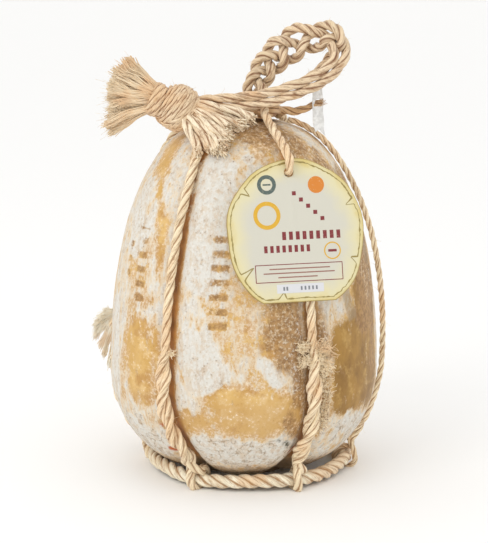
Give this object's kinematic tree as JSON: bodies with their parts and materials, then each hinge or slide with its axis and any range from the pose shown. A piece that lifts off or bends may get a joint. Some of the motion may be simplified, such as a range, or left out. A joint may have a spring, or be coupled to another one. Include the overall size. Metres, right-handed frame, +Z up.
{
  "type": "provolone cheese",
  "caption": "Whole pear-shaped aged cheese with mould bloom, in a rope net over a foot ring, with a tasselled knot, a plaited hanging loop, a round card tag and a paper strip.",
  "frame": {"origin": "centre of the cheese's flat foot, on the table plane", "axes": "+Z up along the cheese's axis, -Y the front with the tag, +X to the right seen from the front"},
  "size_m": [0.1913, 0.1827, 0.304],
  "materials": {
    "rind": "dry waxy rind with white mould bloom over amber, matt",
    "rope": "three-strand twisted natural fibre, pale straw, matt with a slight sheen",
    "card": "coated card, cream with a yellow edge",
    "paper": "plain white, matt"
  },
  "bodies": {
    "root": {"cheese": "rind", "foot_rope": "rope", "hitch_front_left": "rope", "net_rope_front_left": "rope", "hitch_front_right": "rope", "net_rope_front_right": "rope", "hitch_right": "rope", "net_rope_right": "rope", "hitch_back_right": "rope", "net_rope_back_right": "rope", "hitch_back_left": "rope", "net_rope_back_left": "rope", "hitch_left": "rope", "net_rope_left": "rope", "crown": "rope", "big_knot": "rope", "loop_rope_1": "rope", "loop_rope_2": "rope", "loop_rope_3": "rope", "tag": "card", "rope_end": "rope", "paper_strip": "paper", "knot_collar": "rope", "left_tassel": "rope", "cut_end_1": "rope", "cut_end_2": "rope", "cut_end_3": "rope", "cut_end_4": "rope", "cut_end_5": "rope"}
  },
  "joints": []
}
